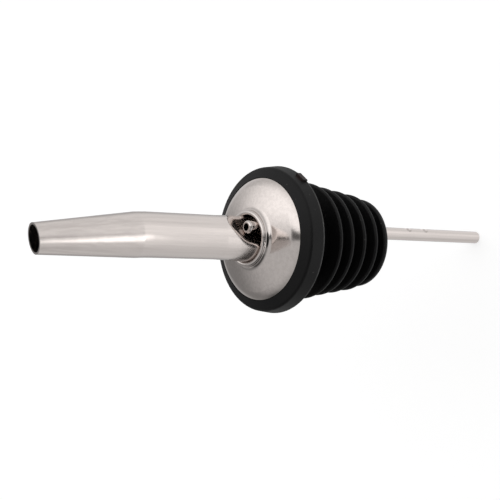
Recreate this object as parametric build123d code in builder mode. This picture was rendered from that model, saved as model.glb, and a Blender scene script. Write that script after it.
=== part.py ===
"""Liquor pour spout: a steel spout, dome and breather tube on a finned rubber cork.

Millimetres. +Z is up, along the cork's axis, with the spout on top. The origin is the centre of the flange's
underside, where the pourer rests on the bottle's lip. The recess at the spout's foot faces -Y, and the spout
bends away from it, towards +Y.
"""

from build123d import *
import math
import os

os.makedirs("parts", exist_ok=True)

# ---------------------------------------------------------------- driving dimensions
# cork: flange, boss under the dome, core, four fins, end rim
flange_radius = 15.1
flange_face_z = 4.25
flange_edge_radius = 14.7
flange_edge_z = 3.3
flange_edge_round = 0.8
flange_foot_round = 0.35
boss_radius = 11.6
boss_top_radius = 9.7
boss_shoulder_z = 4.95
boss_top_z = 5.75
boss_clearance = 0.6
groove_draft = 0.1
core_top_radius = 8.5
core_bottom_radius = 7.8
first_fin_z = -7.45
fin_pitch = 3.93
fin_radii = (12.1, 11.4, 10.85, 10.3)
fin_half_thickness = 0.45
fin_root_slope = 0.5
end_rim_radius = 9.4
end_rim_height = 1.2
end_rim_round = 0.45
cork_end_z = -23.5
gate_angle = -76.0
gate_z = 0.85
gate_width = 2.6
gate_height = 1.1
gate_stand_out = 0.3

# stem sleeve, which clamps the cork between its rolled lip and its flared foot
sleeve_inner_radius = 4.75
sleeve_wall = 0.4
roll_radius = 0.5
roll_centre_z = 7.6
flare_round = 0.3
flare_radius = 6.6

# washer between the cork's end and the flare
washer_inner_radius = 5.6
washer_outer_radius = 7.0
washer_thickness = 0.4

# dome
dome_sheet = 0.5
dome_neck_round = 1.1
dome_neck_top_z = 7.56
dome_neck_height = 0.05
dome_rim_z = 3.9
crown_slope = -11.0
crown_turn = -8.0
crown_radius = 31.8
shoulder_slope = -22.0
shoulder_turn = -23.0
shoulder_radius = 4.7
fit_gap = 0.02

# spout
spout_radius = 4.4
spout_wall = 0.4
spout_foot_z = 2.4
foot_top_z = 7.8
foot_flare_height = 8.0
bend_start_z = 31.5
bend_radius = 40.0
bend_angle = 5.5
tip_length = 20.75
tip_radius = 2.95
tip_cut_angle = 8.5
cut_margin = 2.0

# recess pressed into the spout's foot by an upright round tool, which leans away towards its top
recess_tool_radius = 9.0
recess_floor_offset = 1.93
recess_turn_z = 8.4
recess_turn_radius = 7.5
recess_slope = 28.0
recess_edge_round = 1.2

# breather tube, its two crimp dimples and the ball between them
breather_radius = 1.35
breather_wall = 0.275
breather_offset = 3.37
breather_top_z = 9.95
breather_bottom_z = -59.0
mouth_round = 0.5
mouth_radius = 0.78
tail_round = 0.12
crimp_upper_z = -35.8
crimp_lower_z = -41.0
crimp_turn = 20.0
crimp_tool_radius = 1.1
crimp_depth = 0.62
ball_radius = 1.0
ball_clearance = 0.03

# braze that closes the gap beside the breather tube
seal_bottom_z = 3.2
seal_top_z = 4.2
seal_radius = 4.7

# ---------------------------------------------------------------- worked-out dimensions
sleeve_outer_radius = sleeve_inner_radius + sleeve_wall
roll_centre_radius = sleeve_inner_radius + roll_radius
foot_radius = sleeve_inner_radius - fit_gap
bore_radius = breather_radius - breather_wall
washer_bottom_z = cork_end_z - washer_thickness
crimp_tool_offset = breather_radius - crimp_depth + crimp_tool_radius
crimp_bump_radius = crimp_tool_radius + breather_wall
ball_to_crimp = math.sqrt((crimp_bump_radius + ball_radius) ** 2 - crimp_tool_offset**2)
ball_rest_z = crimp_lower_z + ball_to_crimp + ball_clearance
ball_travel = crimp_upper_z - ball_to_crimp - ball_clearance - ball_rest_z


def direction(degrees):
    """Unit vector in a sketch, turned anticlockwise from the sketch's first axis."""
    return (math.cos(math.radians(degrees)), math.sin(math.radians(degrees)))


def save(piece, name):
    """Label one finished sub-part and write it to its own file."""
    piece.part.label = name
    export_step(piece.part, f"parts/{name}.step")


# ---------------------------------------------------------------- spout
bend_end = (
    0,
    bend_radius * (1 - math.cos(math.radians(bend_angle))),
    bend_start_z + bend_radius * math.sin(math.radians(bend_angle)),
)
tip_axis = (0, math.sin(math.radians(bend_angle)), math.cos(math.radians(bend_angle)))
tip_plane = Plane(origin=bend_end, x_dir=(1, 0, 0), z_dir=tip_axis)
tip_taper = (spout_radius - tip_radius) / tip_length
cut_angle = math.radians(bend_angle + tip_cut_angle)
tip_cut = Plane(
    origin=tip_plane.from_local_coords((0, 0, tip_length)),
    x_dir=(1, 0, 0),
    z_dir=(0, math.sin(cut_angle), math.cos(cut_angle)),
)


def spout_form(inset, foot_z):
    """The tube's outer form as a solid, shrunk by inset: flared foot, straight run, bend, tapered tip."""
    run_radius = spout_radius - inset
    with BuildPart() as form:
        with BuildSketch(Plane.XZ):
            with BuildLine():
                Polyline(
                    (0, foot_z),
                    (foot_radius - inset, foot_z),
                    (foot_radius - inset, foot_top_z),
                    (run_radius, foot_top_z + foot_flare_height),
                    (run_radius, bend_start_z),
                    (0, bend_start_z),
                    close=True,
                )
            make_face()
        revolve(axis=Axis.Z)
        with BuildSketch(Plane.XY.offset(bend_start_z)):
            Circle(run_radius)
        revolve(axis=Axis((0, bend_radius, bend_start_z), (-1, 0, 0)), revolution_arc=bend_angle)
        with Locations(tip_plane):
            Cone(
                run_radius,
                run_radius - tip_taper * (tip_length + cut_margin),
                tip_length + cut_margin,
                align=(Align.CENTER, Align.CENTER, Align.MIN),
            )
    return form.part


def recess_form(grow):
    """The pressing tool, grown by grow: a cylinder whose side turns inwards to a cone."""
    side_y = grow - recess_floor_offset
    axis_y = -(recess_floor_offset + recess_tool_radius)
    with BuildPart() as form:
        with BuildSketch(Plane.YZ):
            with BuildLine():
                side = Line((side_y, spout_foot_z - 2 * cut_margin), (side_y, recess_turn_z))
                turn = JernArc(side @ 1, (0, 1), recess_turn_radius + grow, recess_slope)
                slope = PolarLine(turn @ 1, 2 * spout_radius, direction=turn % 1)
                Polyline(slope @ 1, (axis_y, (slope @ 1).Y), (axis_y, (side @ 0).Y), side @ 0)
            make_face()
        revolve(axis=Axis((0, axis_y, 0), (0, 0, 1)))
    return form.part


def pressed_form(inset, foot_z):
    """The tube's form with its recess, whose outline is rounded: each edge but the rings round the tube."""
    with BuildPart() as form:
        add(spout_form(inset, foot_z))
        add(recess_form(inset), mode=Mode.SUBTRACT)
        outline = form.edges(Select.LAST).filter_by(GeomType.CIRCLE, reverse=True)
        fillet(outline, recess_edge_round - inset)
    return form.part


spout_outside = pressed_form(0, spout_foot_z)
spout_channel = pressed_form(spout_wall, spout_foot_z - cut_margin)

with BuildPart() as spout:
    add(spout_outside)
    split(bisect_by=tip_cut, keep=Keep.BOTTOM)
    add(spout_channel, mode=Mode.SUBTRACT)

save(spout, "spout")

# ---------------------------------------------------------------- stem sleeve
roll_inside = roll_radius - sleeve_wall
flare_top_z = washer_bottom_z + flare_round
flare_centre = (sleeve_outer_radius + flare_round, flare_top_z)

with BuildPart() as stem_sleeve:
    with BuildSketch(Plane.XZ):
        with BuildLine():
            Line((sleeve_inner_radius, flare_top_z), (sleeve_inner_radius, roll_centre_z))
            CenterArc((roll_centre_radius, roll_centre_z), roll_radius, 180, -180)
            Line(
                (roll_centre_radius + roll_radius, roll_centre_z),
                (roll_centre_radius + roll_inside, roll_centre_z),
            )
            CenterArc((roll_centre_radius, roll_centre_z), roll_inside, 0, 180)
            Line((sleeve_outer_radius, roll_centre_z), (sleeve_outer_radius, flare_top_z))
            CenterArc(flare_centre, flare_round, 180, 90)
            Polyline(
                (flare_centre[0], washer_bottom_z),
                (flare_radius, washer_bottom_z),
                (flare_radius, washer_bottom_z - sleeve_wall),
                (flare_centre[0], washer_bottom_z - sleeve_wall),
            )
            CenterArc(flare_centre, flare_round + sleeve_wall, 270, -90)
        make_face()
    revolve(axis=Axis.Z)

save(stem_sleeve, "stem_sleeve")

# ---------------------------------------------------------------- dome
# Along the outside, from the neck outwards: a hollow curve, a shallow crown, then a steeper shoulder.
dome_neck_radius = sleeve_outer_radius + fit_gap + dome_sheet

with BuildPart() as dome_cap:
    with BuildSketch(Plane.XZ) as dome_section:
        with BuildLine() as dome_line:
            neck = Line(
                (dome_neck_radius, dome_neck_top_z),
                (dome_neck_radius, dome_neck_top_z - dome_neck_height),
            )
            hollow = JernArc(neck @ 1, (0, -1), dome_neck_round, 90 + crown_slope)
            crown = JernArc(hollow @ 1, direction(crown_slope), crown_radius, crown_turn)
            shoulder = JernArc(crown @ 1, direction(shoulder_slope), shoulder_radius, shoulder_turn)
            skirt = Line(shoulder @ 1, ((shoulder @ 1).X, dome_rim_z))
            offset(amount=dome_sheet, side=Side.RIGHT)
        make_face()
    revolve(axis=Axis.Z)

save(dome_cap, "dome_cap")
dome_rim_radius = (shoulder @ 1).X

# ---------------------------------------------------------------- cork
fin_levels = [first_fin_z - fin_pitch * i for i in range(len(fin_radii))]
groove_radius = dome_rim_radius + 2 * fit_gap
end_rim_centre = end_rim_radius - end_rim_round
end_rim_top_z = cork_end_z + end_rim_height

with BuildPart() as cork:
    # flange, boss, core and end
    with BuildSketch(Plane.XZ) as cork_section:
        with BuildLine():
            Polyline(
                (sleeve_outer_radius, cork_end_z),
                (sleeve_outer_radius, boss_top_z),
                (dome_neck_radius + boss_clearance, boss_top_z),
                (boss_top_radius, boss_shoulder_z),
                (boss_radius, dome_rim_z),
                (groove_radius, dome_rim_z),
                (groove_radius + groove_draft, flange_face_z),
                (flange_edge_radius, flange_edge_z),
                (flange_radius, flange_foot_round),
            )
            CenterArc((flange_radius - flange_foot_round, flange_foot_round), flange_foot_round, 0, -90)
            Polyline(
                (flange_radius - flange_foot_round, 0),
                (core_top_radius, 0),
                (core_bottom_radius, end_rim_top_z),
                (end_rim_centre, end_rim_top_z),
            )
            CenterArc((end_rim_centre, end_rim_top_z - end_rim_round), end_rim_round, 90, -90)
            Line(
                (end_rim_radius, end_rim_top_z - end_rim_round),
                (end_rim_radius, cork_end_z + end_rim_round),
            )
            CenterArc((end_rim_centre, cork_end_z + end_rim_round), end_rim_round, 0, -90)
            Line((end_rim_centre, cork_end_z), (sleeve_outer_radius, cork_end_z))
        make_face()
        flange_edge = cork_section.vertices().sort_by_distance((flange_edge_radius, flange_edge_z))[0]
        fillet(flange_edge, flange_edge_round)
    revolve(axis=Axis.Z)
    # fins: flat on top, round-edged, sloping in underneath
    for level, radius in zip(fin_levels, fin_radii):
        root_radius = core_bottom_radius - fin_root_slope
        edge_radius = radius - fin_half_thickness
        with BuildSketch(Plane.XZ):
            with BuildLine():
                Polyline(
                    (edge_radius, level - fin_half_thickness),
                    (root_radius, level - fin_half_thickness - fin_root_slope),
                    (root_radius, level + fin_half_thickness),
                    (edge_radius, level + fin_half_thickness),
                )
                CenterArc((edge_radius, level), fin_half_thickness, 90, -180)
            make_face()
        revolve(axis=Axis.Z)
    # gate mark left by the mould on the flange's side
    with Locations(Location((0, 0, gate_z), (0, 0, gate_angle))):
        with Locations((flange_radius, 0, 0)):
            Box(2 * gate_stand_out, gate_width, gate_height)

save(cork, "cork")

# ---------------------------------------------------------------- breather tube
mouth_centre = (breather_radius - mouth_round, breather_top_z - mouth_round)
crimp_side = direction(crimp_turn - 90)
crimp_x = crimp_tool_offset * crimp_side[0]
crimp_y = crimp_tool_offset * crimp_side[1]
crimp_centres = [(crimp_x, crimp_y, crimp_upper_z), (crimp_x, crimp_y, crimp_lower_z)]

with BuildPart() as crimp_tools:
    with Locations(*crimp_centres):
        Sphere(crimp_tool_radius)

with BuildPart() as breather_bore:
    with BuildSketch(Plane.XZ):
        with BuildLine():
            Polyline(
                (mouth_centre[0], mouth_centre[1] + mouth_round - breather_wall),
                (mouth_radius, mouth_centre[1] + mouth_round - breather_wall),
                (mouth_radius, breather_top_z + cut_margin),
                (0, breather_top_z + cut_margin),
                (0, breather_bottom_z - cut_margin),
                (bore_radius, breather_bottom_z - cut_margin),
                (bore_radius, mouth_centre[1]),
            )
            CenterArc(mouth_centre, mouth_round - breather_wall, 0, 90)
        make_face()
    revolve(axis=Axis.Z)
    with Locations(*crimp_centres):
        Sphere(crimp_bump_radius, mode=Mode.SUBTRACT)

with BuildPart() as breather_tube:
    with BuildSketch(Plane.XZ):
        with BuildLine():
            Polyline(
                (mouth_centre[0], breather_top_z),
                (0, breather_top_z),
                (0, breather_bottom_z),
                (breather_radius, breather_bottom_z),
                (breather_radius, mouth_centre[1]),
            )
            CenterArc(mouth_centre, mouth_round, 0, 90)
        make_face()
    revolve(axis=Axis.Z)
    add(crimp_tools.part, mode=Mode.SUBTRACT)
    add(breather_bore.part, mode=Mode.SUBTRACT)
    fillet(breather_tube.edges().group_by(Axis.Z)[0].sort_by(SortBy.RADIUS)[-1], tail_round)

breather_tube.part = breather_tube.part.moved(Location((0, -breather_offset, 0)))
save(breather_tube, "breather_tube")

# ---------------------------------------------------------------- check ball
with BuildPart() as check_ball:
    with Locations((0, -breather_offset, ball_rest_z)):
        Sphere(ball_radius)

save(check_ball, "check_ball")

# ---------------------------------------------------------------- braze seal
with BuildPart() as braze_seal:
    with BuildSketch(Plane.XY.offset(seal_bottom_z)):
        Circle(seal_radius)
        with Locations((0, -recess_floor_offset - recess_tool_radius)):
            Circle(recess_tool_radius, mode=Mode.INTERSECT)
        with Locations((0, -breather_offset)):
            Circle(breather_radius, mode=Mode.SUBTRACT)
    extrude(amount=seal_top_z - seal_bottom_z)

save(braze_seal, "braze_seal")

# ---------------------------------------------------------------- end washer
with BuildPart() as end_washer:
    with BuildSketch(Plane.XY.offset(washer_bottom_z)):
        Circle(washer_outer_radius)
        Circle(washer_inner_radius, mode=Mode.SUBTRACT)
    extrude(amount=washer_thickness)

save(end_washer, "end_washer")

print(f"dome rim radius {dome_rim_radius:.2f}, its shoulder ends at {shoulder @ 1}")
print(f"ball rests at {ball_rest_z:.3f}, travels {ball_travel:.3f}, tip {tip_cut.origin}")
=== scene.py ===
import math

import bpy
from mathutils import Matrix, Vector


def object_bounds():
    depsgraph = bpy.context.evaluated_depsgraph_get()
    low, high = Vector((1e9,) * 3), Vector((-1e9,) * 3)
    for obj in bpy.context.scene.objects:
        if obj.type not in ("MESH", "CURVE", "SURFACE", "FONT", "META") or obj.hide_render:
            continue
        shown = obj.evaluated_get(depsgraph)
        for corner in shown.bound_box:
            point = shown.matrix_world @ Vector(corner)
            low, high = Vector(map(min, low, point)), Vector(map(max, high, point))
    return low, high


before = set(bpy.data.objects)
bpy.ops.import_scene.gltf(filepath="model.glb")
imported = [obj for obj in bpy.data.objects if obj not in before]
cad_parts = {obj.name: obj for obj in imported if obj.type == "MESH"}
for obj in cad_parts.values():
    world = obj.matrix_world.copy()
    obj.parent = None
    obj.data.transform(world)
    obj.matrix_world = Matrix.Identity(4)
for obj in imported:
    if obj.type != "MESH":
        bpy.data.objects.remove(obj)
cad_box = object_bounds()

MM = 0.001

# ---------------------------------------------------------------- camera
CAMERA_AIM = Vector((0.72, 4.24, 3.64)) * MM
CAMERA_DISTANCE = 280.0 * MM
CAMERA_AZIMUTH = -132.0     # direction from the object to the camera, from +X anticlockwise
CAMERA_ELEVATION = 39.77
CAMERA_ROLL = -88.17        # the pourer lies on its side, spout to the left
LENS = 97.96
SENSOR = 36.0

# directions of the studio around the lying pourer
AZIMUTH = math.radians(CAMERA_AZIMUTH)
FRONT = Vector((math.cos(AZIMUTH), math.sin(AZIMUTH), 0))
ABOVE = Vector((-FRONT.y, FRONT.x, 0))
SPOUT_SIDE = Vector((0, 0, 1))
LAMP = (FRONT * 0.911 - SPOUT_SIDE * 0.408).normalized()
DARK_SIDE = (FRONT * 0.96 + SPOUT_SIDE * 0.27 - ABOVE * 0.05).normalized()

# the white floor, which curves up into a wall far away
FLOOR_GAP = 0.2 * MM        # between the breather's end and the floor
FLOOR_RADIUS = 1.2
FLOOR_CURVE = 0.8
WALL_TOP = 3.0
FLOOR_SIDES = 96
CURVE_STEPS = 16

# details of the rubber
GATE_PLACE = Vector((3.65, -14.65, 0.85)) * MM
GATE_RADIUS = 1.7 * MM
EDGE_HIGHLIGHT_LEVEL = 0.3 * MM       # height of the painted highlight line on the flange's side
EDGE_HIGHLIGHT_HALF_WIDTH = 0.28 * MM


def place_camera():
    elevation = math.radians(CAMERA_ELEVATION)
    toward_camera = FRONT * math.cos(elevation) + SPOUT_SIDE * math.sin(elevation)
    data = bpy.data.cameras.new("camera")
    data.lens = LENS
    data.sensor_width = SENSOR
    data.clip_start = 0.01
    data.clip_end = 20
    camera = bpy.data.objects.new("camera", data)
    bpy.context.collection.objects.link(camera)
    turn = (-toward_camera).to_track_quat("-Z", "Y").to_matrix()
    turn = turn @ Matrix.Rotation(math.radians(CAMERA_ROLL), 3, "Z")
    place = CAMERA_AIM + toward_camera * CAMERA_DISTANCE
    camera.matrix_world = Matrix.Translation(place) @ turn.to_4x4()
    bpy.context.scene.camera = camera


# ---------------------------------------------------------------- node helpers
def feed(tree, socket, value):
    """Link an output to the input socket, or set the input to a plain value."""
    if isinstance(value, bpy.types.NodeSocket):
        tree.links.new(value, socket)
    else:
        socket.default_value = value


def add_node(tree, kind, **inputs):
    made = tree.nodes.new(kind)
    for name, value in inputs.items():
        feed(tree, made.inputs[name], value)
    return made


def maths(tree, operation, first, second=0.0, third=0.0):
    made = tree.nodes.new("ShaderNodeMath")
    made.operation = operation
    for socket, value in zip(made.inputs, (first, second, third)):
        feed(tree, socket, value)
    return made.outputs[0]


def ramp(tree, value, low, high, to_low=0.0, to_high=1.0):
    """value mapped smoothly from low..high to to_low..to_high."""
    made = tree.nodes.new("ShaderNodeMapRange")
    made.interpolation_type = "SMOOTHSTEP"
    feed(tree, made.inputs["Value"], value)
    feed(tree, made.inputs["From Min"], low)
    feed(tree, made.inputs["From Max"], high)
    feed(tree, made.inputs["To Min"], to_low)
    feed(tree, made.inputs["To Max"], to_high)
    return made.outputs["Result"]


def band(tree, value, middle, inner, outer):
    """1 where value is within inner of the middle, falling to 0 at outer."""
    offset = maths(tree, "ABSOLUTE", maths(tree, "SUBTRACT", value, middle))
    return ramp(tree, offset, inner, outer, 1.0, 0.0)


def vector_maths(tree, operation, first, second):
    made = tree.nodes.new("ShaderNodeVectorMath")
    made.operation = operation
    tree.links.new(first, made.inputs[0])
    made.inputs[1].default_value = second
    return made.outputs["Value"]


# ---------------------------------------------------------------- studio
def studio_world():
    """The studio's surroundings by direction: a pale ceiling above, a dimmer table below."""
    world = bpy.data.worlds.new("studio")
    bpy.context.scene.world = world
    world.use_nodes = True
    tree = world.node_tree
    ray = tree.nodes.new("ShaderNodeTexCoord").outputs["Generated"]
    height = vector_maths(tree, "DOT_PRODUCT", ray, ABOVE)
    front = vector_maths(tree, "DOT_PRODUCT", ray, FRONT)
    spout_side = vector_maths(tree, "DOT_PRODUCT", ray, SPOUT_SIDE)

    def both(first, second):
        return maths(tree, "MULTIPLY", first, second)

    def dimmed(light, mask, share):
        """light, less the given share of it where the mask is 1."""
        return both(light, maths(tree, "MULTIPLY_ADD", mask, -share, 1.0))

    # each half grows dimmer towards the middle of the pourer and brighter again beyond the spout
    upper = ramp(tree, spout_side, -0.6, 0.2, 0.88, 0.62)
    upper = maths(tree, "ADD", upper, ramp(tree, spout_side, 0.2, 0.9, 0.0, 0.7))
    lower = ramp(tree, spout_side, -0.6, 0.2, 0.7, 0.24)
    lower = maths(tree, "ADD", lower, ramp(tree, spout_side, 0.3, 0.9, 0.0, 0.32))
    sky = ramp(tree, height, -0.05, 0.35, lower, upper)

    # on the cork's side, brighter in front and dimmer behind
    cork_side = ramp(tree, spout_side, -0.1, -0.5)
    sky = maths(tree, "ADD", sky, both(ramp(tree, front, 0.3, 0.75, 0.0, 0.25), cork_side))
    sky = dimmed(sky, both(ramp(tree, front, -0.35, -0.75), cork_side), 0.45)

    # the gap between the ceiling and the table beyond the spout
    gap = both(band(tree, height, 0.085, 0.04, 0.13), ramp(tree, spout_side, 0.6, 0.85))
    sky = dimmed(sky, both(gap, ramp(tree, front, -0.12, 0.12)), 0.84)

    # the unlit side where the camera stands
    toward_dark = vector_maths(tree, "DOT_PRODUCT", ray, DARK_SIDE)
    sky = dimmed(sky, ramp(tree, toward_dark, 0.85, 0.92), 0.93)

    # the shaded table right below the dome
    below = both(ramp(tree, height, -0.72, -0.92), band(tree, spout_side, 0.1, 0.2, 0.45))
    sky = dimmed(sky, below, 0.7)

    # the lamp, low on the cork's side
    across = vector_maths(tree, "DOT_PRODUCT", ray, LAMP.cross(ABOVE))
    glow = both(band(tree, across, 0.0, 0.03, 0.16), band(tree, height, -0.22, 0.08, 0.36))
    glow = both(glow, ramp(tree, front, 0.2, 0.5))
    sky = maths(tree, "MULTIPLY_ADD", glow, 1.6, sky)

    background = tree.nodes["Background"]
    tree.links.new(sky, background.inputs["Color"])
    background.inputs["Strength"].default_value = 1.0


def floor_profile():
    """Radius and height of the floor's rings, from its middle out to the wall's top."""
    profile = [(0.0, 0.0), (FLOOR_RADIUS, 0.0)]
    for step in range(1, CURVE_STEPS + 1):
        angle = math.radians(90 * step / CURVE_STEPS)
        radius = FLOOR_RADIUS + FLOOR_CURVE * math.sin(angle)
        profile.append((radius, FLOOR_CURVE * (1 - math.cos(angle))))
    profile.append((FLOOR_RADIUS + FLOOR_CURVE, WALL_TOP))
    return profile


def floor_material():
    material = bpy.data.materials.new("floor_white")
    material.use_nodes = True
    shader = material.node_tree.nodes["Principled BSDF"]
    shader.inputs["Base Color"].default_value = (0.5, 0.5, 0.5, 1)
    shader.inputs["Roughness"].default_value = 0.9
    shader.inputs["Specular IOR Level"].default_value = 0.0
    shader.inputs["Emission Color"].default_value = (1, 1, 1, 1)
    shader.inputs["Emission Strength"].default_value = 0.7
    return material


def studio_floor():
    """A white floor just under the breather's end. Only the camera sees it."""
    floor_z = cad_box[0].z - FLOOR_GAP
    profile = floor_profile()
    verts = [(0.0, 0.0, floor_z)]
    for radius, z in profile[1:]:
        for side in range(FLOOR_SIDES):
            angle = 2 * math.pi * side / FLOOR_SIDES
            verts.append((radius * math.cos(angle), radius * math.sin(angle), floor_z + z))
    faces = [(0, 1 + side, 1 + (side + 1) % FLOOR_SIDES) for side in range(FLOOR_SIDES)]
    for ring in range(len(profile) - 2):
        base = 1 + ring * FLOOR_SIDES
        for side in range(FLOOR_SIDES):
            after = (side + 1) % FLOOR_SIDES
            faces.append((base + side, base + FLOOR_SIDES + side, base + FLOOR_SIDES + after, base + after))
    mesh = bpy.data.meshes.new("floor")
    mesh.from_pydata(verts, [], faces)
    for face in mesh.polygons:
        face.use_smooth = True
    mesh.materials.append(floor_material())
    floor = bpy.data.objects.new("floor", mesh)
    bpy.context.collection.objects.link(floor)
    floor.visible_glossy = False
    floor.visible_shadow = False
    floor.visible_diffuse = False


# ---------------------------------------------------------------- materials
def new_material(name):
    material = bpy.data.materials.new(name)
    material.use_nodes = True
    tree = material.node_tree
    shader = tree.nodes["Principled BSDF"]
    place = tree.nodes.new("ShaderNodeTexCoord").outputs["Object"]
    return material, tree, shader, place


def scaled(tree, place, scale):
    made = add_node(tree, "ShaderNodeMapping", Vector=place, Scale=scale)
    return made.outputs[0]


def noise(tree, place, scale, detail, roughness):
    made = add_node(tree, "ShaderNodeTexNoise", Vector=place, Scale=scale, Detail=detail, Roughness=roughness)
    return made.outputs["Fac"]


def mixed(tree, mask, first, second):
    """The first colour where the mask is 0 and the second where it is 1."""
    made = tree.nodes.new("ShaderNodeMix")
    made.data_type = "RGBA"
    feed(tree, made.inputs["Factor"], mask)
    feed(tree, made.inputs["A"], first)
    feed(tree, made.inputs["B"], second)
    return made.outputs["Result"]


def steel(name, base=(0.72, 0.66, 0.63), rough=0.16, streaks=(1, 1, 0.05), mottle=0.3, spread=0.1):
    """Polished stainless: fine polishing lines and faint clouding.

    streaks draws the lines out along the axis with the small number, mottle is the
    depth of the clouding, and spread is how far the roughness varies.
    """
    material, tree, shader, place = new_material(name)
    drawn_out = scaled(tree, place, streaks)
    lines = noise(tree, drawn_out, 5200.0, 4.0, 0.6)
    cloud = noise(tree, place, 260.0, 3.0, 0.55)
    bands = noise(tree, drawn_out, 1500.0, 3.0, 0.55)
    dull = tuple(c * 0.90 for c in base)
    bright = tuple(c * 1.03 for c in base)
    clouded = maths(tree, "MULTIPLY", cloud, 0.4)
    shade = maths(tree, "MULTIPLY_ADD", ramp(tree, bands, 0.35, 0.65), 0.6, clouded)
    tree.links.new(mixed(tree, shade, (*dull, 1), (*bright, 1)), shader.inputs["Base Color"])
    gloss = maths(tree, "MULTIPLY_ADD", lines, spread, rough - 0.5 * spread)
    gloss = maths(tree, "MULTIPLY_ADD", ramp(tree, cloud, 0.35, 0.75), 0.8 * spread, gloss)
    tree.links.new(gloss, shader.inputs["Roughness"])
    relief = add_node(tree, "ShaderNodeBump", Height=lines, Strength=0.12, Distance=0.02 * MM)
    relief = add_node(
        tree, "ShaderNodeBump",
        Height=cloud, Strength=mottle, Distance=0.05 * MM, Normal=relief.outputs["Normal"],
    )
    tree.links.new(relief.outputs["Normal"], shader.inputs["Normal"])
    shader.inputs["Metallic"].default_value = 1.0
    return material


def rubber(name):
    """Black moulded rubber: fine grain, dust specks, a gate mark, and a painted highlight line low on the
    flange.
    """
    material, tree, shader, place = new_material(name)
    grain = noise(tree, place, 4200.0, 3.0, 0.6)
    cloud = noise(tree, place, 180.0, 3.0, 0.6)
    dust = ramp(tree, noise(tree, place, 1500.0, 1.0, 0.5), 0.74, 0.80)
    level = add_node(tree, "ShaderNodeSeparateXYZ", Vector=place).outputs["Z"]
    # painted highlight: a pale line around the flange's rear edge, broken into patches, where its rounding
    # catches the light
    patches = ramp(tree, noise(tree, place, 420.0, 4.0, 0.7), 0.30, 0.62, 0.25, 1.0)
    edge_highlight = maths(tree, "MULTIPLY", band(tree, level, EDGE_HIGHLIGHT_LEVEL, 0.0, EDGE_HIGHLIGHT_HALF_WIDTH), patches)
    from_gate = vector_maths(tree, "DISTANCE", place, GATE_PLACE)
    gate = ramp(tree, from_gate, 0.4 * GATE_RADIUS, GATE_RADIUS, 1.0, 0.0)
    colour = mixed(tree, cloud, (0.0030, 0.0030, 0.0033, 1), (0.0070, 0.0066, 0.0070, 1))
    colour = mixed(tree, dust, colour, (0.05, 0.048, 0.045, 1))
    colour = mixed(tree, gate, colour, (0.018, 0.009, 0.008, 1))
    # the painted highlight line goes on last, over the other colours
    colour = mixed(tree, edge_highlight, colour, (0.085, 0.083, 0.082, 1))
    tree.links.new(colour, shader.inputs["Base Color"])
    tree.links.new(maths(tree, "MULTIPLY_ADD", cloud, 0.16, 0.42), shader.inputs["Roughness"])
    relief = add_node(tree, "ShaderNodeBump", Height=grain, Strength=0.25, Distance=0.02 * MM)
    tree.links.new(relief.outputs["Normal"], shader.inputs["Normal"])
    shader.inputs["Specular IOR Level"].default_value = 0.22
    return material


def dress(node, material):
    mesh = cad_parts[node].data
    mesh.materials.clear()
    mesh.materials.append(material)


place_camera()
studio_world()
studio_floor()

dress("spout", steel("spout_steel", streaks=(1, 1, 0.03)))
dress("stem_sleeve", steel("sleeve_steel", streaks=(1, 1, 1)))
dress("dome_cap", steel("dome_steel", rough=0.085, streaks=(1, 1, 1), mottle=0.35, spread=0.04))
dress("breather_tube", steel("breather_steel", rough=0.09, streaks=(1, 1, 0.03), spread=0.05))
dress("check_ball", steel("ball_steel", rough=0.08, streaks=(1, 1, 1)))
dress("braze_seal", steel("braze", base=(0.5, 0.46, 0.42), rough=0.4, streaks=(1, 1, 1)))
dress("end_washer", steel("washer_steel", rough=0.3, streaks=(1, 1, 1)))
dress("cork", rubber("cork_rubber"))

bpy.context.scene.view_settings.view_transform = "Standard"
